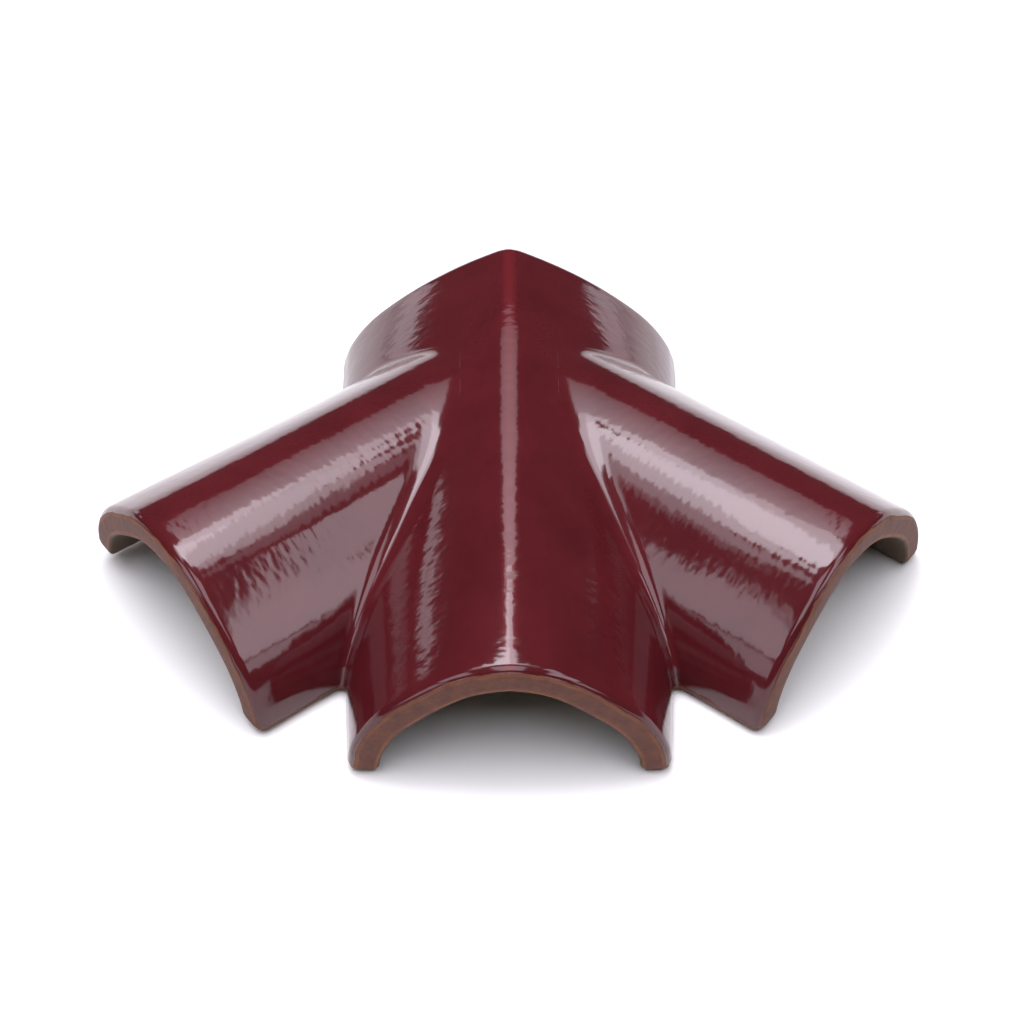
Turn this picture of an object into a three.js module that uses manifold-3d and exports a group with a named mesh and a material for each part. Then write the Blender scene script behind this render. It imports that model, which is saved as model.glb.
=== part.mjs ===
import * as THREE from 'three';
import { mergeVertices } from 'three/addons/utils/BufferGeometryUtils.js';
import Module from 'manifold-3d';

// Ridge apex tile, one piece of fired clay with a wine-red glaze. A barrel vault tapers from a wide
// mouth at the back to the front arm. Its crest is highest over the crossing, sharp at the mouth and
// round at the front. Two side arms, splayed towards the front, leave its flanks a little below that
// crest. The tile is hollow and open below, and stands on the lower edges of its walls.
// Millimetres, +Z up, front arm along -Y, origin under the middle of the tile's box.

// The three arms, measured from the crossing of their axes
const armReach = 274;
const armSplay = THREE.MathUtils.degToRad(52);
const endHalfWidth = 100;
const endCrest = 100;

// Crown over the crossing, and the side arms where they start, just inside the barrel
const crownHeight = 116.5;
const rootCrest = 103.5;
const rootHalfWidth = 100;

// Back mouth
const mouthReach = 103;
const mouthHalfWidth = 129.7;
const mouthCrest = 108.9;

// Clay wall, and the rounding of its edges at every end
const wall = 19.2;
const rimRadius = 4;

// Arched section: a crest arc that turns to a first angle, flank arcs to a second one, and shoulder arcs
// that run down to the feet
const endArch = { crestRadius: 76, crestTurn: 36, shoulderRadius: 91 };
const mouthArch = { crestRadius: 28, crestTurn: 24, shoulderRadius: 121 };
const shoulderTurn = THREE.MathUtils.degToRad(43.5);

// Facets
const arcSegments = 3;
const rimSegments = 2;
const barrelSteps = 10;
const armSteps = 7;

// How far the vaults run below the feet before they are cut level, and the hollow past the ends
const belowFeet = 45;
const pastEnds = 12;

const glaze = new THREE.MeshStandardMaterial({ color: 0x6b2329, roughness: 0.12, metalness: 0 });

const wasm = await Module();
wasm.setup();

// Closed outline of an arched section, set in from its outer face and closed below the feet
function archSection({ halfWidth, crest, arch, inset }) {
  const { crestRadius, shoulderRadius } = arch;
  const crestTurn = THREE.MathUtils.degToRad(arch.crestTurn);
  const flankSpan = halfWidth - crestRadius * Math.sin(crestTurn) - shoulderRadius * (1 - Math.sin(shoulderTurn));
  const flankRadius = flankSpan / (Math.sin(shoulderTurn) - Math.sin(crestTurn));
  const crestZ = crest - crestRadius;
  const flankX = (crestRadius - flankRadius) * Math.sin(crestTurn);
  const flankZ = crestZ + (crestRadius - flankRadius) * Math.cos(crestTurn);
  const shoulderX = halfWidth - shoulderRadius;
  const shoulderZ = flankZ + (flankRadius - shoulderRadius) * Math.cos(shoulderTurn);
  const top = Math.PI / 2;
  const section = new THREE.Shape();
  section.absarc(-shoulderX, shoulderZ, shoulderRadius - inset, Math.PI, top + shoulderTurn, true);
  section.absarc(-flankX, flankZ, flankRadius - inset, top + shoulderTurn, top + crestTurn, true);
  section.absarc(0, crestZ, crestRadius - inset, top + crestTurn, top - crestTurn, true);
  section.absarc(flankX, flankZ, flankRadius - inset, top - crestTurn, top - shoulderTurn, true);
  section.absarc(shoulderX, shoulderZ, shoulderRadius - inset, top - shoulderTurn, 0, true);
  section.lineTo(halfWidth - inset, -belowFeet);
  section.lineTo(inset - halfWidth, -belowFeet);
  section.closePath();
  return section;
}

// Solid skinned over sections that stand at given places along -Y
function loft(sections, places) {
  const outlines = sections.map((section) => section.getPoints(arcSegments));
  const last = sections.length - 1;
  const geometry = new THREE.ExtrudeGeometry(sections[0], {
    depth: last,
    steps: last,
    curveSegments: arcSegments,
    bevelEnabled: false,
  });
  const corners = geometry.getAttribute('position');
  const corner = new THREE.Vector2();
  for (let i = 0; i < corners.count; i += 1) {
    corner.set(corners.getX(i), corners.getY(i));
    const gaps = outlines[0].map((point) => point.distanceTo(corner));
    const order = gaps.indexOf(Math.min(...gaps));
    const step = Math.round(corners.getZ(i));
    const point = outlines[step][order];
    corners.setXYZ(i, point.x, -places[step], point.y);
  }
  return geometry;
}

// Places along a vault with the inset there: each open end is rounded, outwards for the outer face and
// inwards for the hollow, which also runs on past it
function stations(from, to, steps, inset, opensAtStart) {
  const hollow = inset > 0;
  const turnBy = hollow ? -rimRadius : rimRadius;
  const rim = Array.from({ length: rimSegments + 1 }, (_, k) => {
    const turn = (k / rimSegments) * (Math.PI / 2);
    return { back: rimRadius * (1 - Math.sin(turn)), inset: inset + turnBy * (1 - Math.cos(turn)) };
  });
  if (hollow) {
    rim.push({ back: -pastEnds, inset: inset + turnBy });
  }
  const start = opensAtStart
    ? rim.toReversed().map((edge) => ({ at: from + edge.back, inset: edge.inset }))
    : [{ at: from, inset }];
  const end = rim.map((edge) => ({ at: to - edge.back, inset: edge.inset }));
  const middle = Array.from({ length: steps - 1 }, (_, k) => {
    const share = (k + 1) / steps;
    return { at: THREE.MathUtils.lerp(from + rimRadius, to - rimRadius, share), inset };
  });
  return [...start, ...middle, ...end];
}

function vault({ from, to, steps, inset, opensAtStart, size }) {
  const along = stations(from, to, steps, inset, opensAtStart);
  const sections = along.map((station) => archSection({ ...size(station.at), inset: station.inset }));
  return loft(sections, along.map((station) => station.at));
}

// Crest that falls from a top height to an end height along a reach, level at its top
function fallingCrest(top, end, share) {
  return top - (top - end) * share ** 2;
}

function barrelSize(at) {
  const share = (at + mouthReach) / (armReach + mouthReach);
  const crest = at > 0
    ? fallingCrest(crownHeight, endCrest, at / armReach)
    : fallingCrest(crownHeight, mouthCrest, at / mouthReach);
  const { lerp } = THREE.MathUtils;
  const arch = {
    crestRadius: lerp(mouthArch.crestRadius, endArch.crestRadius, share ** 2),
    crestTurn: lerp(mouthArch.crestTurn, endArch.crestTurn, share),
    shoulderRadius: lerp(mouthArch.shoulderRadius, endArch.shoulderRadius, share),
  };
  return { halfWidth: lerp(mouthHalfWidth, endHalfWidth, share), crest, arch };
}

function barrel(inset) {
  return vault({
    from: -mouthReach,
    to: armReach,
    steps: barrelSteps,
    inset,
    opensAtStart: true,
    size: barrelSize,
  });
}

function sideArmSize(at) {
  const share = at / armReach;
  return {
    halfWidth: THREE.MathUtils.lerp(rootHalfWidth, endHalfWidth, share),
    crest: THREE.MathUtils.lerp(rootCrest, endCrest, share),
    arch: endArch,
  };
}

// Side arm turned about the crossing: a positive turn swings its end towards +X
function sideArm(inset, turn) {
  const arm = vault({
    from: 0,
    to: armReach,
    steps: armSteps,
    inset,
    opensAtStart: false,
    size: sideArmSize,
  });
  return arm.rotateZ(turn);
}

// Everything below the feet
function ground() {
  const span = 4 * armReach;
  const depth = 2 * belowFeet;
  return new THREE.BoxGeometry(span, span, depth).translate(0, 0, -depth / 2);
}

function toSolid(geometry) {
  geometry.deleteAttribute('normal');
  geometry.deleteAttribute('uv');
  const merged = mergeVertices(geometry);
  return new wasm.Manifold(new wasm.Mesh({
    numProp: 3,
    vertProperties: new Float32Array(merged.getAttribute('position').array),
    triVerts: new Uint32Array(merged.getIndex().array),
  }));
}

function toGeometry(solid) {
  const mesh = solid.getMesh();
  const geometry = new THREE.BufferGeometry();
  geometry.setAttribute('position', new THREE.BufferAttribute(mesh.vertProperties, mesh.numProp));
  geometry.setIndex(new THREE.BufferAttribute(mesh.triVerts, 1));
  return geometry;
}

// Barrel and both side arms as one body: the outer form, or the hollow that a wall leaves
function crossedVaults(inset) {
  const turns = [armSplay, -armSplay];
  return turns.reduce(
    (body, turn) => body.add(toSolid(sideArm(inset, turn))),
    toSolid(barrel(inset)),
  );
}

const body = crossedVaults(0).subtract(crossedVaults(wall)).subtract(toSolid(ground()));
const tile = new THREE.Mesh(toGeometry(body), glaze);
tile.name = 'ridge_apex_tile';
tile.position.y = (armReach - mouthReach) / 2;

const ridgeApexTile = new THREE.Group();
ridgeApexTile.add(tile);

export default ridgeApexTile;
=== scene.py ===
import math

import bmesh
import bpy
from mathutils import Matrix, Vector, noise


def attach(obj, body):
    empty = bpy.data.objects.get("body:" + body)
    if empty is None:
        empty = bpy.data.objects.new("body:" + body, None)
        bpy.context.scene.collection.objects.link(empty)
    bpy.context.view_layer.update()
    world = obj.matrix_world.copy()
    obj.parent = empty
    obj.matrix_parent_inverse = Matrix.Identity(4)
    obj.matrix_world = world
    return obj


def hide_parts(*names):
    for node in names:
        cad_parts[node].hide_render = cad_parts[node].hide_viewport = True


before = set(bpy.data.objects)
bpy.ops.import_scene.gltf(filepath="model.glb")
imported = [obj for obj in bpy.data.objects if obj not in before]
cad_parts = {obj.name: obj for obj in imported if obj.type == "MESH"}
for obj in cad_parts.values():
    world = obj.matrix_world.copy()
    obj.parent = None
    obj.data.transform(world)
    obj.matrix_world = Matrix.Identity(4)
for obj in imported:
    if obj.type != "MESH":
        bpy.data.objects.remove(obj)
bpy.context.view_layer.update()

print("frame loaded:", sorted(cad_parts))

# Vaults, in metres along their axes from the crossing. The barrel runs from the back mouth to the front
# arm's end, the left arm from the crossing to its end, and the right arm mirrors it. Headings turn left
# from the back. Pairs hold the start and the end: the barrel's crest is sharp at the mouth and round at
# the front
vaults = {
    "barrel": {"heading": 180.0, "start": -0.103, "reach": 0.274, "halfWidth": (0.1297, 0.100),
               "crest": (0.1089, 0.100), "crown": 0.1165, "crestRadius": (0.025, 0.076),
               "crestTurn": (24.0, 36.0), "shoulderRadius": (0.121, 0.091), "grainStart": 0.0},
    "arm": {"heading": 128.0, "start": 0.0, "reach": 0.274, "halfWidth": (0.100, 0.100),
            "crest": (0.1035, 0.100), "crestRadius": (0.076, 0.076), "crestTurn": (36.0, 36.0),
            "shoulderRadius": (0.091, 0.091), "grainStart": 1.0},
}

tile = {
    "crossing": Vector((0.0, 0.0855)),    # under the crown
    "wall": 0.0192,
    "shoulderTurn": math.radians(43.5),
    "flankRows": 34,                      # rings of faces down a flank, and over the barrel's top
    "topRows": 10,
    "topCrowding": 1.3,                   # above 1, the top's rings crowd towards the crest
    "longColumns": 46,                    # columns along an arm, and from the crossing to the mouth
    "mouthColumns": 24,
    "valleyColumns": 9,                   # close columns on either side of a valley
    "armValley": 0.028,                   # how far they reach on the arm's crest
    "frontValley": (0.036, 0.018),        # and on either flank, at the top and at the feet
    "backValley": (0.019, 0.011),
    "flankShare": 0.4,                    # share of the way down where the flank's reach is taken
    "evenShare": 0.2,                     # and where the columns are spread evenly
    "topBlend": (0.0028, 0.012),          # rounding of the back and front valleys at the top
    "footBlend": (0.004, 0.0075),         # and at the feet
    "blendAcross": (-0.03, 0.0),          # across the arm from the back rounding to the front one
    "blendRise": (0.02, 0.095),           # heights from the feet's rounding to the top's
    "footRing": 0.0185,                   # last ring, left wide for the rounded feet
    "endRing": 0.0115,                    # last column at each open end, left wide for its rim
    "grainMiddle": 0.5,                   # the crests in the grain map
    "seamHeight": 0.0006,                 # mould seam along the barrel's crest
    "seamWidth": 0.0060,
    "seamAbove": 0.09,                    # it stands above this height only
    "waveHeight": 0.00022,                # slow waves of a hand-pressed wall
    "waveLength": 0.055,
    "ruffle": (2.3, 0.5),                 # finer waves over them, how much closer and how high
    "rimWidth": 0.0093,                   # rounding: feet take all of it, the other edges a share
    "innerFoot": 0.85,
    "outerRim": 0.70,
    "innerRim": 0.22,
    "rimSegments": 5,
    "cornerTurn": 0.8,                    # feet that turn by more than this are rounded at the corner too
    "warpLift": 0.011,                    # the left arm's back foot, drawn up in the kiln
    "warpStart": 0.10,
    "weld": 2e-5,                         # corners this close become one
    "mirrorWeld": 1e-5,
    "onGround": 1e-6,                     # corners this low are feet
    "atEnd": 0.001,                       # corners this near an open end are on it
    "settleRounds": 6,                    # rounds that draw a point onto the melted face
    "settleStep": 1e-5,                   # step that finds its slope
    "settled": 1e-7,                      # gap that is near enough
    "halvings": 40,                       # rounds of the search for a valley
    "least": 1e-9,                        # keeps a divisor off nought
}


def direction(vault):
    angle = math.radians(vault["heading"])
    return Vector((-math.sin(angle), math.cos(angle)))


def sideways(vault):
    way = direction(vault)
    return Vector((-way.y, way.x))


def planOf(point):
    return point.xy - tile["crossing"]


def smoothStep(value, low, high):
    share = min(1.0, max(0.0, (value - low) / (high - low)))
    return share * share * (3 - 2 * share)


def between(pair, share):
    return pair[0] + (pair[1] - pair[0]) * share


def crestAt(vault, along):
    if "crown" not in vault:
        return between(vault["crest"], along / vault["reach"])
    end, low = (vault["reach"], vault["crest"][1]) if along > 0 else (vault["start"], vault["crest"][0])
    return vault["crown"] - (vault["crown"] - low) * (along / end) ** 2


# Arched section at a place: crest, flank and shoulder arcs, each with its middle, radius and last turn
def sectionAt(vault, along):
    share = (along - vault["start"]) / (vault["reach"] - vault["start"])
    halfWidth = between(vault["halfWidth"], share)
    crest = between(vault["crestRadius"], share ** 2)
    shoulder = between(vault["shoulderRadius"], share)
    crestTurn, shoulderTurn = math.radians(between(vault["crestTurn"], share)), tile["shoulderTurn"]
    crestZ = crestAt(vault, along) - crest
    rise = math.sin(shoulderTurn) - math.sin(crestTurn)
    flank = (halfWidth - crest * math.sin(crestTurn) - shoulder * (1 - math.sin(shoulderTurn))) / rise
    flankX = (crest - flank) * math.sin(crestTurn)
    flankZ = crestZ + (crest - flank) * math.cos(crestTurn)
    shoulderX = halfWidth - shoulder
    shoulderZ = flankZ + (flank - shoulder) * math.cos(shoulderTurn)
    footTurn = math.acos(max(-1.0, min(1.0, -shoulderZ / shoulder)))
    return ((0.0, crestZ, crest, crestTurn), (flankX, flankZ, flank, shoulderTurn),
            (shoulderX, shoulderZ, shoulder, footTurn))


def sectionLength(section):
    length, turn = 0.0, 0.0
    for _, _, radius, end in section:
        length += radius * (end - turn)
        turn = end
    return length


# Point of a vault's outer face, a share of the way down from its crest, with that way
def facePoint(vault, turn, along, share):
    section = sectionAt(vault, along)
    way = sectionLength(section) * share
    rest, start = way, 0.0
    for middleX, middleZ, radius, end in section:
        if rest <= radius * (end - start):
            break
        rest -= radius * (end - start)
        start = end
    angle = start + rest / radius if rest <= radius * (end - start) else end
    side, height = middleX + radius * math.sin(angle), middleZ + radius * math.cos(angle)
    plan = tile["crossing"] + direction(vault) * along + sideways(vault) * turn * side
    return Vector((plan.x, plan.y, height)), way


# Gap from a vault's outer face to a point, and the share of the way down its section that faces the point
def gapTo(vault, point):
    plan = planOf(point)
    along = min(vault["reach"], max(vault["start"], plan.dot(direction(vault))))
    side = abs(plan.dot(sideways(vault)))
    section = sectionAt(vault, along)
    way, start = 0.0, 0.0
    for middleX, middleZ, radius, end in section:
        angle = math.atan2(side - middleX, point.z - middleZ)
        if angle <= end or (middleX, middleZ) == section[2][:2]:
            break
        way += radius * (end - start)
        start = end
    gap = math.hypot(side - middleX, point.z - middleZ) - radius
    return gap, (way + radius * (angle - start)) / sectionLength(section)


# Gap to the barrel and the arm melted into one another, more closely behind the arm
def meltedGap(point):
    barrelGap, armGap = gapTo(vaults["barrel"], point)[0], gapTo(vaults["arm"], point)[0]
    front = smoothStep(planOf(point).dot(sideways(vaults["arm"])), *tile["blendAcross"])
    foot, top = between(tile["footBlend"], front), between(tile["topBlend"], front)
    blend = between((foot, top), smoothStep(point.z, *tile["blendRise"]))
    melt = max(0.0, blend - abs(barrelGap - armGap)) / blend
    return min(barrelGap, armGap) - melt * melt * blend / 4


# Nearest point on the melted face, on the ground for a foot
def ontoMelted(point):
    step = tile["settleStep"]
    moves = [Vector((step, 0, 0)), Vector((0, step, 0)), Vector((0, 0, step))]
    if point.z < tile["onGround"]:
        moves[2].zero()
    for _ in range(tile["settleRounds"]):
        gap = meltedGap(point)
        if abs(gap) < tile["settled"]:
            break
        uphill = Vector([(meltedGap(point + move) - gap) / step for move in moves])
        point = point - uphill * (gap / max(tile["least"], uphill.length_squared))
    return point


# Run of points along a vault's face with their grain map, at a share of the way down that may change
def faceRun(vault, turn, places, shares):
    run = []
    for along in places:
        share = between(shares, smoothStep(along, places[0], places[-2]))
        point, way = facePoint(vault, turn, along, share)
        grain = (vault["grainStart"] + along, tile["grainMiddle"] + turn * way)
        run.append((ontoMelted(point), grain, share))
    return run


def placesFrom(valley, leg, end, columns):
    sign = 1 if end > valley else -1
    last = end - sign * tile["endRing"]
    near = [valley + sign * leg * k / tile["valleyColumns"] for k in range(tile["valleyColumns"])]
    first = valley + sign * leg
    return near + [first + (last - first) * k / (columns - 1) for k in range(columns)] + [end]


# Spread the close columns of a row evenly through its valley
def spreadValley(armRun, barrelRun, amount):
    count = tile["valleyColumns"]
    points = [spot[0] for spot in armRun[count:0:-1]] + [spot[0] for spot in barrelRun[:count + 1]]
    ways = [0.0]
    for first, second in zip(points, points[1:]):
        ways.append(ways[-1] + (second - first).length)
    for k in range(1, 2 * count):
        way = ways[-1] * k / (2 * count)
        cell = max(j for j in range(2 * count) if ways[j] <= way)
        rest = (way - ways[cell]) / max(tile["least"], ways[cell + 1] - ways[cell])
        even = ontoMelted(points[cell].lerp(points[cell + 1], rest))
        place = ontoMelted(points[k].lerp(even, amount))
        if k <= count:
            armRun[count - k] = (place,) + armRun[count - k][1:]
        if k >= count:
            barrelRun[k - count] = (place,) + barrelRun[k - count][1:]


# Rows from the arm's end along one of its flanks to the valley, and on along the barrel to one end of it
def flankRows(turn, barrelEnd, columns, legs):
    barrel, arm = vaults["barrel"], vaults["arm"]
    count = tile["flankRows"]
    ring = tile["footRing"]
    armWhole = 1 - ring / sectionLength(sectionAt(arm, arm["reach"]))
    endWhole = 1 - ring / sectionLength(sectionAt(barrel, barrelEnd))
    topShare = endWhole * tile["topRows"] / (tile["topRows"] + count - 1)
    rows = []
    for k in range(count + 1):
        share = 1.0 if k == count else armWhole * k / (count - 1)
        endShare = 1.0 if k == count else between((topShare, endWhole), k / (count - 1))
        low, high = arm["start"], arm["reach"]
        for _ in range(tile["halvings"]):
            middle = (low + high) / 2
            if gapTo(barrel, facePoint(arm, turn, middle, share)[0])[0] > 0:
                high = middle
            else:
                low = middle
        corner = facePoint(arm, turn, high, share)[0]
        onBarrel = planOf(corner).dot(direction(barrel))
        barrelShare = 1.0 if k == count else gapTo(barrel, corner)[1]
        leg = between(legs, share)
        armLeg = between((tile["armValley"], leg), smoothStep(share, 0.0, tile["flankShare"]))
        armPlaces = placesFrom(high, armLeg, arm["reach"], tile["longColumns"])
        armRun = faceRun(arm, turn, armPlaces, (share, share))
        barrelPlaces = placesFrom(onBarrel, leg, barrelEnd, columns)
        barrelRun = faceRun(barrel, -1, barrelPlaces, (barrelShare, endShare))
        spreadValley(armRun, barrelRun, smoothStep(share, 0.0, tile["evenShare"]))
        rows.append((armRun[::-1], barrelRun))
    return rows


# Grid of faces over rows, each of two runs that meet in a valley
def layRows(mesh, rows, pool):
    valley = len(rows[0][0]) - 1
    across, down = valley + len(rows[0][1]) - 1, len(rows) - 1
    grain = mesh.loops.layers.uv.verify()
    oldCorners, oldFaces = set(mesh.verts), set(mesh.faces)
    half = 0.5
    bmesh.ops.create_grid(mesh, x_segments=across, y_segments=down, size=half)
    spots = {}
    for corner in mesh.verts:
        if corner not in oldCorners:
            column, row = round((corner.co.x + half) * across), round((corner.co.y + half) * down)
            spots[corner] = (column, row)
            run = rows[row][0] if column <= valley else rows[row][1]
            corner.co = run[column if column <= valley else column - valley][0]
            if len(rows[row][1]) > 1:
                corner[pool] = max(0.0, 1 - abs(column - valley) / tile["valleyColumns"])
    for face in mesh.faces:
        if face in oldFaces:
            continue
        onFirst = max(spots[v][0] for v in face.verts) <= valley
        for loop in face.loops:
            column, row = spots[loop.vert]
            spot = rows[row][0][column] if onFirst else rows[row][1][column - valley]
            loop[grain].uv = spot[1]


# Slow waves of the wall and the seam, which leave the feet on the ground
def addRelief(mesh):
    closer, part = tile["ruffle"]
    for corner in mesh.verts:
        place = corner.co / tile["waveLength"]
        rise = tile["waveHeight"] * (noise.noise(place) + part * noise.noise(place * closer))
        if corner.co.z > tile["seamAbove"]:
            rise += tile["seamHeight"] / (1 + (corner.co.x / tile["seamWidth"]) ** 2)
        shift = corner.normal * rise
        if corner.co.z < tile["onGround"]:
            shift.z = 0
        corner.co += shift


# Outer skin: both flanks of the left arm, the barrel beside them and its top, then their mirror image
def makeSkin(mesh, pool):
    barrel = vaults["barrel"]
    front = flankRows(1, barrel["reach"], tile["longColumns"], tile["frontValley"])
    back = flankRows(-1, barrel["start"], tile["mouthColumns"], tile["backValley"])
    layRows(mesh, front, pool)
    layRows(mesh, back, pool)
    edge = back[0][1][::-1] + front[0][1][1:]
    top = []
    for k in range(tile["topRows"] + 1):
        part = (k / tile["topRows"]) ** tile["topCrowding"]
        run = []
        for point, grain, share in edge:
            spot, way = facePoint(barrel, -1, grain[0], share * part)
            run.append((point if k == tile["topRows"] else spot, (grain[0], tile["grainMiddle"] - way)))
        top.append((run, run[-1:]))
    layRows(mesh, top, pool)
    bmesh.ops.remove_doubles(mesh, verts=mesh.verts, dist=tile["weld"])
    for corner in mesh.verts:
        corner.co = ontoMelted(corner.co)
    whole = mesh.verts[:] + mesh.edges[:] + mesh.faces[:]
    bmesh.ops.mirror(mesh, geom=whole, axis="X", merge_dist=tile["mirrorWeld"], mirror_v=True)
    bmesh.ops.recalc_face_normals(mesh, faces=mesh.faces)
    if sum(face.normal.z for face in mesh.faces) < 0:
        bmesh.ops.reverse_faces(mesh, faces=mesh.faces)
    mesh.normal_update()
    addRelief(mesh)


def openEnds():
    barrel, arm = vaults["barrel"], vaults["arm"]
    front, left = direction(barrel), direction(arm)
    return [(front, barrel["reach"]), (-front, -barrel["start"]), (left, arm["reach"]),
            (Vector((-left.x, left.y)), arm["reach"])]


# Wall thickness inwards, with its edges squared to the open ends and the ground
def thickenWall(mesh):
    outer = set(mesh.verts)
    bmesh.ops.solidify(mesh, geom=mesh.faces[:], thickness=tile["wall"])
    ends = openEnds()
    for edge in mesh.edges:
        outside = [v for v in edge.verts if v in outer]
        if len(outside) != 1:
            continue
        inside = edge.other_vert(outside[0])
        if outside[0].co.z < tile["onGround"]:
            inside.co.z = 0
        for way, reach in ends:
            if abs(planOf(outside[0].co).dot(way) - reach) < tile["atEnd"]:
                outside[0].co.xy += way * (reach - planOf(outside[0].co).dot(way))
                inside.co.xy += way * (reach - planOf(inside.co).dot(way))
    return outer


# How much of the rim's rounding each edge takes
def markRims(mesh, outer, rounding):
    rimFaces = {f for f in mesh.faces if 0 < len([v for v in f.verts if v in outer]) < len(f.verts)}
    for edge in mesh.edges:
        onRim = [f for f in edge.link_faces if f in rimFaces]
        if not onRim:
            continue
        outside = len([v for v in edge.verts if v in outer])
        low = all(v.co.z < tile["onGround"] for v in edge.verts)
        if outside == 1:
            turned = len(onRim) == 2 and onRim[0].normal.angle(onRim[1].normal) > tile["cornerTurn"]
            if turned and low:
                edge[rounding] = 1.0
        elif low:
            edge[rounding] = 1.0 if outside == 2 else tile["innerFoot"]
        else:
            edge[rounding] = tile["outerRim"] if outside == 2 else tile["innerRim"]


def warpLeftFoot(mesh):
    arm = vaults["arm"]
    for corner in mesh.verts:
        along = planOf(corner.co).dot(direction(arm))
        behind = -planOf(corner.co).dot(sideways(arm))
        lift = smoothStep(along, tile["warpStart"], arm["reach"])
        lift *= smoothStep(behind, 0.0, arm["halfWidth"][1])
        corner.co.z += tile["warpLift"] * lift * (1 - corner.co.z / vaults["barrel"]["crown"])


def makeTile():
    mesh = bmesh.new()
    rounding = mesh.edges.layers.float.new("bevel_weight_edge")
    glazed = mesh.verts.layers.float.new("glazeSkin")
    pool = mesh.verts.layers.float.new("glazePool")
    mesh.loops.layers.uv.new("glazeGrain")
    makeSkin(mesh, pool)
    print("tile skin:", len(mesh.verts), "corners")
    outer = thickenWall(mesh)
    mesh.normal_update()
    markRims(mesh, outer, rounding)
    for corner in mesh.verts:
        corner[glazed] = 1.0 if corner in outer else 0.0
    warpLeftFoot(mesh)
    for face in mesh.faces:
        face.smooth = True
    data = bpy.data.meshes.new("glazedTile")
    mesh.to_mesh(data)
    mesh.free()
    piece = bpy.data.objects.new("glazedTile", data)
    bpy.context.scene.collection.objects.link(piece)
    rim = piece.modifiers.new("roundedRims", "BEVEL")
    rim.limit_method = "WEIGHT"
    rim.width = tile["rimWidth"]
    rim.segments = tile["rimSegments"]
    rim.profile = 0.5
    rim.use_clamp_overlap = False
    shade = piece.modifiers.new("evenShading", "WEIGHTED_NORMAL")
    shade.keep_sharp = False
    return piece


glaze = {
    "deep": (0.054, 0.0059, 0.0082, 1),
    "bright": (0.073, 0.0083, 0.0110, 1),
    "thin": (0.094, 0.0093, 0.0120, 1),       # along the seam
    "breaking": (0.060, 0.0060, 0.0035, 1),   # over the rims
    "clay": (0.070, 0.0130, 0.0055, 1),
    "speckle": (0.120, 0.0290, 0.0080, 1),
    "paintedEdgeHighlight": (0.215, 0.0700, 0.0160, 1),   # painted highlight: light orange-brown lines along both edges of an end face
    # unglazed inside clay, darkened below its own tone as painted shade under the arches
    "shadedInsideClay": (0.075, 0.0440, 0.0220, 1),
    "ior": 1.5,
    "roughness": 0.095,
    "clayRoughness": 0.68,
    "insideRoughness": 0.75,
    # noises, each with its scale, detail and roughness
    "wander": (55, 3, 0.5),
    "grit": (260, 2, 0.5),
    "clouds": (22, 4, 0.6),
    "speckles": (140, 4, 0.65),
    "streaks": (1.0, 3, 0.6),
    "ripples": (1.0, 1.2, 0.42),
    "noiseSpan": (0.3, 0.7),                  # most of a noise lies between these
    # the skin attribute falls from 1 outside to 0 inside, over the rims
    "rimFade": (0.80, 0.95),                  # glaze thins out here
    "rimWander": 0.05,
    "insideFade": (0.02, 0.10),
    "innerEdgeHighlight": (0.13, (0.02, 0.09), 0.8),   # painted highlight lines along the edges: where, how far they fade, how much
    "outerEdgeHighlight": (0.77, (0.01, 0.08), 0.6),
    "edgeHighlightBreakup": (0.35, 0.62),                 # noise that breaks them up, and what it leaves
    "leastEdgeHighlight": 0.25,
    "footLine": 0.0085,                       # glaze is wiped off below this height
    "footFade": 0.0022,
    "footWander": 0.0016,
    "seamFade": (0.0012, 0.0062),
    # shares of the cover that change the colour, the roughness and the grain
    "breakingFade": (0.15, 0.45),
    "bodyFade": (0.55, 1.0),
    "roughnessFade": (0.1, 0.5),
    "gritFade": (0.0, 0.6),
    "peel": 0.00017,                          # depth of the ripples in the glaze
    "peelSize": (0.0060, 0.0110),             # and their size along an arm and across it
    "peelCalm": (0.0, 0.8),                   # they fade where glaze pools in a valley
    "gritDepth": 0.0004,                      # grain and streaks of the bare clay
    "streakScale": (900, 60, 1),
}


def addNode(tree, kind, **settings):
    node = tree.nodes.new(kind)
    for name, value in settings.items():
        setattr(node, name, value)
    return node


def link(tree, out, into):
    tree.links.new(out, into)


def addSplit(tree, coords):
    node = addNode(tree, "ShaderNodeSeparateXYZ")
    link(tree, coords, node.inputs["Vector"])
    return node.outputs


def addScale(tree, coords, scale):
    node = addNode(tree, "ShaderNodeMapping", vector_type="POINT")
    node.inputs["Scale"].default_value = scale
    link(tree, coords, node.inputs["Vector"])
    return node.outputs["Vector"]


def addNoise(tree, coords, recipe):
    node = addNode(tree, "ShaderNodeTexNoise")
    for name, number in zip(("Scale", "Detail", "Roughness"), recipe):
        node.inputs[name].default_value = number
    link(tree, coords, node.inputs["Vector"])
    return node.outputs["Fac"]


def addRange(tree, value, span, into=(0.0, 1.0), kind="LINEAR"):
    node = addNode(tree, "ShaderNodeMapRange", interpolation_type=kind)
    for name, number in zip(("From Min", "From Max", "To Min", "To Max"), (*span, *into)):
        node.inputs[name].default_value = number
    link(tree, value, node.inputs["Value"])
    return node.outputs["Result"]


def addFade(tree, value, span, into=(0.0, 1.0)):
    return addRange(tree, value, span, into, "SMOOTHSTEP")


def addMath(tree, operation, first, second):
    node = addNode(tree, "ShaderNodeMath", operation=operation)
    for place, value in enumerate((first, second)):
        if isinstance(value, (int, float)):
            node.inputs[place].default_value = value
        else:
            link(tree, value, node.inputs[place])
    return node.outputs["Value"]


def addDistance(tree, value, middle):
    return addMath(tree, "ABSOLUTE", addMath(tree, "SUBTRACT", value, middle), 0.0)


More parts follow.
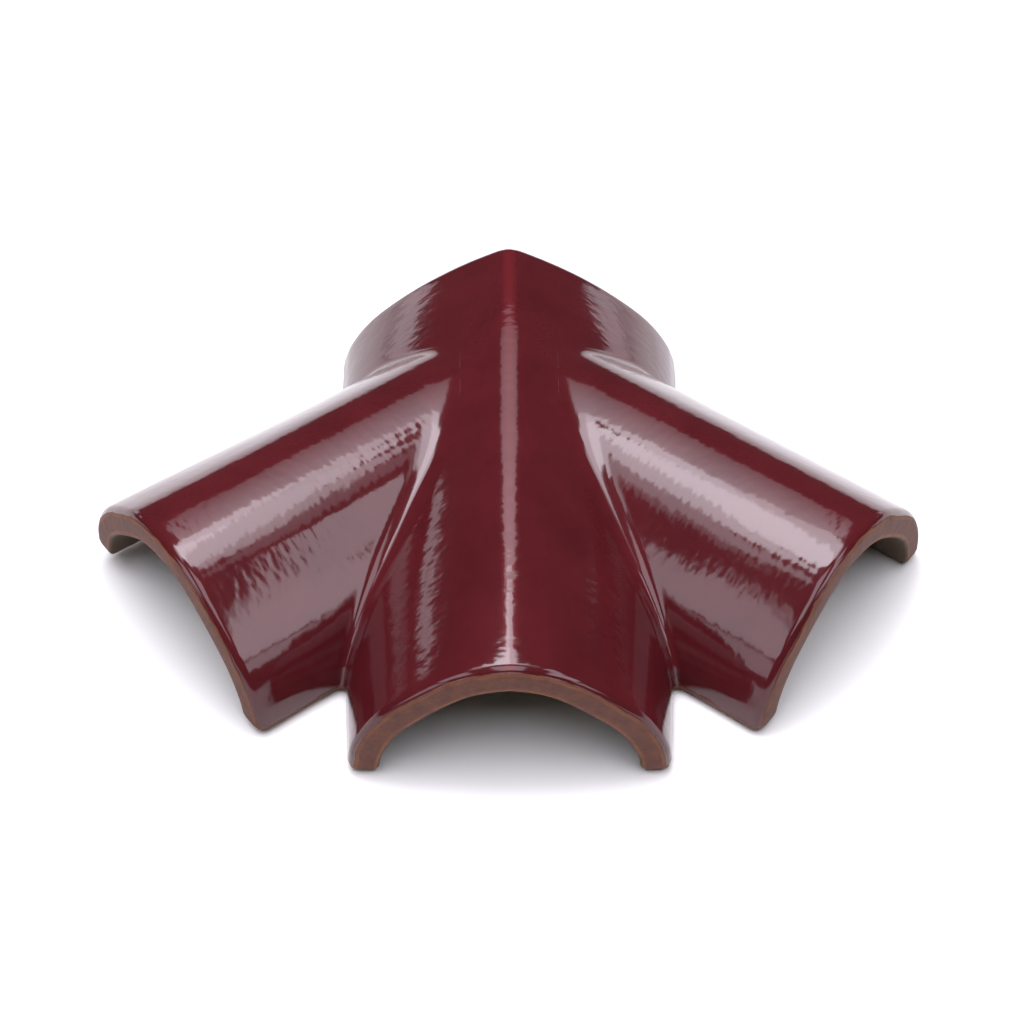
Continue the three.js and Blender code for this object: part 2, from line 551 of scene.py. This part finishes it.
def addBlend(tree, share, first, second, kind="RGBA"):
    node = addNode(tree, "ShaderNodeMix", data_type=kind)
    slots = (0, 6, 7, 2) if kind == "RGBA" else (0, 2, 3, 0)
    link(tree, share, node.inputs[slots[0]])
    for place, value in ((slots[1], first), (slots[2], second)):
        if isinstance(value, (tuple, float)):
            node.inputs[place].default_value = value
        else:
            link(tree, value, node.inputs[place])
    return node.outputs[slots[3]]


def addBump(tree, height, depth):
    node = addNode(tree, "ShaderNodeBump")
    node.inputs["Distance"].default_value = depth
    link(tree, height, node.inputs["Height"])
    return node


# Painted highlight line along an edge of the end faces
def addEdgeHighlight(tree, rimEdge, highlightLine):
    middle, span, amount = highlightLine
    return addFade(tree, addDistance(tree, rimEdge, middle), span, (amount, 0.0))


# Bare clay of the end faces, with painted highlight lines along both of their edges
def makeClayWithEdgeHighlights(tree, place, rimEdge, wander):
    speckles = addRange(tree, addNoise(tree, place, glaze["speckles"]), glaze["noiseSpan"])
    clay = addBlend(tree, speckles, glaze["clay"], glaze["speckle"])
    # painted highlights along the inner and outer edges, broken into patches by noise
    innerEdgeHighlight = addEdgeHighlight(tree, rimEdge, glaze["innerEdgeHighlight"])
    outerEdgeHighlight = addEdgeHighlight(tree, rimEdge, glaze["outerEdgeHighlight"])
    highlightPatches = addRange(tree, wander, glaze["edgeHighlightBreakup"], (glaze["leastEdgeHighlight"], 1.0))
    highlighted = addMath(tree, "MULTIPLY", addMath(tree, "MAXIMUM", innerEdgeHighlight, outerEdgeHighlight), highlightPatches)
    return addBlend(tree, highlighted, clay, glaze["paintedEdgeHighlight"])


def makeGlazeTone(tree, place, grain):
    clouds = addRange(tree, addNoise(tree, place, glaze["clouds"]), glaze["noiseSpan"])
    tone = addBlend(tree, clouds, glaze["deep"], glaze["bright"])
    parts = addSplit(tree, grain)
    fromSeam = addDistance(tree, parts["Y"], tile["grainMiddle"])
    seam = addFade(tree, fromSeam, glaze["seamFade"], (1.0, 0.0))
    onBarrel = addMath(tree, "LESS_THAN", parts["X"], vaults["arm"]["grainStart"] / 2)
    return addBlend(tree, addMath(tree, "MULTIPLY", seam, onBarrel), tone, glaze["thin"])


# Ripples of the glaze, and the grain of the bare clay
def makeGlazeRelief(tree, place, grain, cover):
    along, across = glaze["peelSize"]
    ripples = addNoise(tree, addScale(tree, grain, (1 / along, 1 / across, 1)), glaze["ripples"])
    pool = addNode(tree, "ShaderNodeAttribute", attribute_name="glazePool").outputs["Fac"]
    lively = addMath(tree, "MULTIPLY", cover, addRange(tree, pool, glaze["peelCalm"], (1.0, 0.0)))
    peel = addBump(tree, addMath(tree, "MULTIPLY", ripples, lively), glaze["peel"])
    streaks = addNoise(tree, addScale(tree, grain, glaze["streakScale"]), glaze["streaks"])
    grit = addMath(tree, "ADD", addNoise(tree, place, glaze["grit"]), streaks)
    bare = addRange(tree, cover, glaze["gritFade"], (1.0, 0.0))
    gritty = addBump(tree, addMath(tree, "MULTIPLY", grit, bare), glaze["gritDepth"])
    link(tree, peel.outputs["Normal"], gritty.inputs["Normal"])
    return gritty.outputs["Normal"]


def makeGlaze():
    material = bpy.data.materials.new("wineGlaze")
    material.use_nodes = True
    tree = material.node_tree
    shader = tree.nodes["Principled BSDF"]
    shader.inputs["IOR"].default_value = glaze["ior"]
    place = addNode(tree, "ShaderNodeTexCoord").outputs["Object"]
    skin = addNode(tree, "ShaderNodeAttribute", attribute_name="glazeSkin").outputs["Fac"]
    grain = addNode(tree, "ShaderNodeUVMap", uv_map="glazeGrain").outputs["UV"]

    # glaze cover: whole on the outer skin, gone on the end faces, the feet and the inside
    wander = addNoise(tree, place, glaze["wander"])
    rimShift = addRange(tree, wander, glaze["noiseSpan"], (-glaze["rimWander"], glaze["rimWander"]))
    rimEdge = addMath(tree, "ADD", skin, rimShift)
    footShift = addRange(tree, wander, glaze["noiseSpan"], (-glaze["footWander"], glaze["footWander"]))
    footEdge = addMath(tree, "ADD", addSplit(tree, place)["Z"], footShift)
    footSpan = (glaze["footLine"] - glaze["footFade"], glaze["footLine"] + glaze["footFade"])
    rimCover, footCover = addFade(tree, rimEdge, glaze["rimFade"]), addFade(tree, footEdge, footSpan)
    cover = addMath(tree, "MINIMUM", rimCover, footCover)
    inside = addFade(tree, skin, glaze["insideFade"], (1.0, 0.0))

    # colour, from the bare clay up to the whole glaze
    bare = addBlend(tree, inside, makeClayWithEdgeHighlights(tree, place, rimEdge, wander), glaze["shadedInsideClay"])
    breaking = addBlend(tree, addFade(tree, cover, glaze["breakingFade"]), bare, glaze["breaking"])
    body = makeGlazeTone(tree, place, grain)
    colour = addBlend(tree, addFade(tree, cover, glaze["bodyFade"]), breaking, body)
    link(tree, colour, shader.inputs["Base Color"])

    dry = addBlend(tree, inside, glaze["clayRoughness"], glaze["insideRoughness"], "FLOAT")
    shine = addFade(tree, cover, glaze["roughnessFade"])
    link(tree, addBlend(tree, shine, dry, glaze["roughness"], "FLOAT"), shader.inputs["Roughness"])
    link(tree, makeGlazeRelief(tree, place, grain, cover), shader.inputs["Normal"])
    return material


glazedTile = makeTile()
glazedTile.data.materials.append(makeGlaze())
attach(glazedTile, "root")
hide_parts("ridge_apex_tile")
print("tile made and glazed")

studio = {
    "floorRadius": 7.0,
    "floorSides": 96,
    "floorColour": (0.80, 0.818, 0.795, 1),
    "floorRoughness": 0.9,
    "floorSpecular": 0.1,
    "lightColour": (1.00, 0.96, 1.05),
    "worldLight": 0.05,
    "panelHeight": 3.0,
    # overhead panels, from the crossing: left, right, front and back edge, radiance, turn to the left
    "panels": {
        "keyLeft": (-0.80, 0.00, -0.05, 1.15, 11.0, 0),
        "keyLeftEdge": (-1.25, -0.80, -0.35, 0.85, 7.4, 0),
        "keyLeftFade": (-1.75, -1.25, -0.85, 0.30, 3.0, 0),
        "keyLeftEnd": (-2.00, -1.75, -1.05, -0.20, 1.1, 0),
        "keyLeftBack": (-0.45, 0.00, 1.15, 1.55, 8.5, 0),
        "keyRight": (0.00, 0.62, -0.05, 1.15, 7.5, 0),
        "keyRightBack": (0.00, 0.45, 1.15, 1.55, 6.8, 0),
        "keyRightEdge": (0.62, 0.95, -0.15, 0.75, 4.7, 0),
        "keyRightFade": (0.95, 1.35, -0.50, 0.40, 1.1, 0),
        "fillRight": (1.90, 2.90, -1.60, -0.05, 3.6, 43.6),
        "frontTop": (-0.90, 0.90, -3.60, -0.80, 3.2, 0),
        "frontLeft": (-5.50, -2.35, -4.30, -1.50, 3.0, 0),
        "frontLeftEdge": (-2.35, -2.10, -4.30, -1.30, 1.6, 0),
        "frontRight": (2.35, 5.50, -4.30, -1.50, 3.8, 0),
        "frontRightEdge": (2.15, 2.35, -4.30, -1.40, 2.0, 0),
    },
    # of these, the panels that are seen in the glaze and light nothing else
    "glossOnly": ("fillRight", "frontTop", "frontLeft", "frontLeftEdge", "frontRight", "frontRightEdge"),
    # lights the floor from a little higher, left out of reflections
    "wash": (-2.40, 2.40, -2.40, 0.40, 3.7),
    "washRise": 0.10,
    # panel at the back in strips that widen and dim: near and far edge, half widths, radiances
    "backPanel": {"near": 1.55, "far": 3.95, "halfWidths": (0.60, 1.65), "radiances": (3.6, 1.0),
                  "strips": 14},
    # upright panels, seen in the glaze alone: heading to the left, distance, width, bottom, top, radiance
    "sides": {
        "sideLeft": (52, 4.0, 0.70, 0.74, 0.99, 1.9),
        "lowBackLeft": (39, 4.0, 1.10, 0.00, 0.42, 1.75),
        "lowBackRight": (-39, 4.0, 1.10, 0.00, 0.40, 1.5),
        "lowFrontLeft": (124, 7.0, 3.00, 1.00, 2.90, 2.1),
        "lowFrontRight": (-124, 7.0, 3.00, 1.85, 2.90, 2.5),
        "sideRight": (-51, 4.0, 0.30, 0.55, 0.80, 0.5),
    },
}


def makeFloor():
    mesh = bmesh.new()
    sides, radius = studio["floorSides"], studio["floorRadius"]
    bmesh.ops.create_circle(mesh, cap_ends=True, segments=sides, radius=radius)
    data = bpy.data.meshes.new("paleFloor")
    mesh.to_mesh(data)
    mesh.free()
    floor = bpy.data.objects.new("paleFloor", data)
    bpy.context.scene.collection.objects.link(floor)
    material = bpy.data.materials.new("palePaper")
    material.use_nodes = True
    shader = material.node_tree.nodes["Principled BSDF"]
    shader.inputs["Base Color"].default_value = studio["floorColour"]
    shader.inputs["Roughness"].default_value = studio["floorRoughness"]
    shader.inputs["Specular IOR Level"].default_value = studio["floorSpecular"]
    data.materials.append(material)


def addLight(name, location, width, depth, radiance, rotation):
    light = bpy.data.lights.new(name, "AREA")
    light.shape = "RECTANGLE"
    light.size = width
    light.size_y = depth
    light.color = studio["lightColour"]
    light.energy = radiance * math.pi * width * depth
    lamp = bpy.data.objects.new(name, light)
    lamp.location = location
    lamp.rotation_euler = rotation
    lamp.visible_camera = False
    bpy.context.scene.collection.objects.link(lamp)
    return lamp


def addPanel(name, left, right, near, far, radiance, turn=0):
    middle = Vector(((left + right) / 2, (near + far) / 2 + tile["crossing"].y, studio["panelHeight"]))
    return addLight(name, middle, right - left, far - near, radiance, (0, 0, math.radians(turn)))


def addBackPanel():
    panel = studio["backPanel"]
    first, last = panel["radiances"]
    depth = (panel["far"] - panel["near"]) / panel["strips"]
    for k in range(panel["strips"]):
        share = k / (panel["strips"] - 1)
        half, near = between(panel["halfWidths"], share), panel["near"] + depth * k
        addPanel("backStrip" + str(k), -half, half, near, near + depth, first * (last / first) ** share)


def addSidePanel(name, heading, distance, width, bottom, top, radiance):
    angle = math.radians(heading)
    x, y = -math.sin(angle) * distance, math.cos(angle) * distance + tile["crossing"].y
    middle = Vector((x, y, (bottom + top) / 2))
    side = addLight(name, middle, width, top - bottom, radiance, (-math.pi / 2, 0, angle))
    side.visible_diffuse = False


def lightStudio():
    for name, panel in studio["panels"].items():
        addPanel(name, *panel).visible_diffuse = name not in studio["glossOnly"]
    wash = addPanel("wash", *studio["wash"])
    wash.visible_glossy = False
    wash.location.z += studio["washRise"]
    addBackPanel()
    for name, panel in studio["sides"].items():
        addSidePanel(name, *panel)
    world = bpy.data.worlds.new("dimStudio")
    world.use_nodes = True
    background = world.node_tree.nodes["Background"]
    background.inputs["Color"].default_value = (1, 1, 1, 1)
    background.inputs["Strength"].default_value = studio["worldLight"]
    bpy.context.scene.world = world
    bpy.context.scene.view_settings.view_transform = "Standard"


view = {
    "target": Vector((0.0018, 0.0343, 0.0)),
    "distance": 1.378,
    "elevation": math.radians(46.42),
    "heading": math.radians(-0.10),
    "lens": 70.3,
    "sensor": 36,
}


def placeCamera():
    heading, elevation = view["heading"], view["elevation"]
    flat = math.cos(elevation)
    back = Vector((math.sin(heading) * flat, -math.cos(heading) * flat, math.sin(elevation)))
    lens = bpy.data.cameras.new("photoView")
    lens.sensor_width = view["sensor"]
    lens.lens = view["lens"]
    camera = bpy.data.objects.new("photoView", lens)
    camera.location = view["target"] + back * view["distance"]
    camera.rotation_euler = (-back).to_track_quat("-Z", "Y").to_euler()
    bpy.context.scene.collection.objects.link(camera)
    bpy.context.scene.camera = camera


makeFloor()
lightStudio()
placeCamera()
print("floor, lights and camera placed")

bpy.context.view_layer.update()
